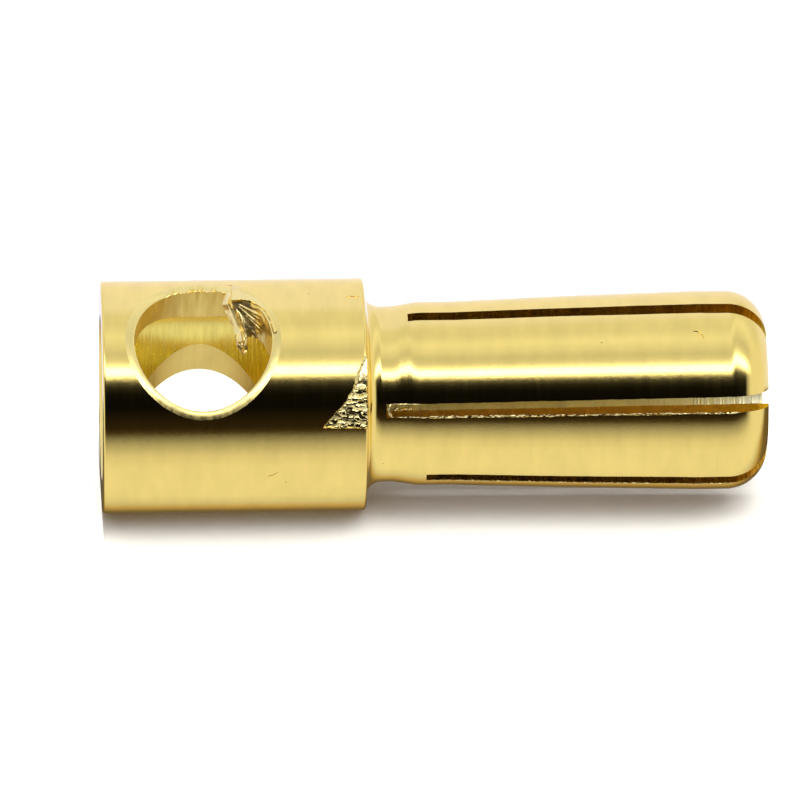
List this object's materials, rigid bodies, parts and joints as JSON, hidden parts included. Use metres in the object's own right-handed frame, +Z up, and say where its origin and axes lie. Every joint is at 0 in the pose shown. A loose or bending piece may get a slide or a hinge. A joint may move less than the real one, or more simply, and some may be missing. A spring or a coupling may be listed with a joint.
{
  "type": "bullet plug for a battery lead",
  "caption": "Turned gold-plated plug: hollow solder barrel with a cross hole, a necked shoulder and a round contact pin slotted into sprung fingers.",
  "frame": {"origin": "centre of the barrel's open end face, on which the plug stands", "axes": "+Z up the axis to the rounded tip of the contact pin; the cross hole runs along Y, and its torn mouth faces -Y"},
  "size_m": [0.0058, 0.0058, 0.0168],
  "materials": {
    "gold_plate": "gold-plated turned brass, bright, with fine turning marks"
  },
  "bodies": {
    "root": {"bullet_plug": "gold_plate"}
  },
  "joints": []
}
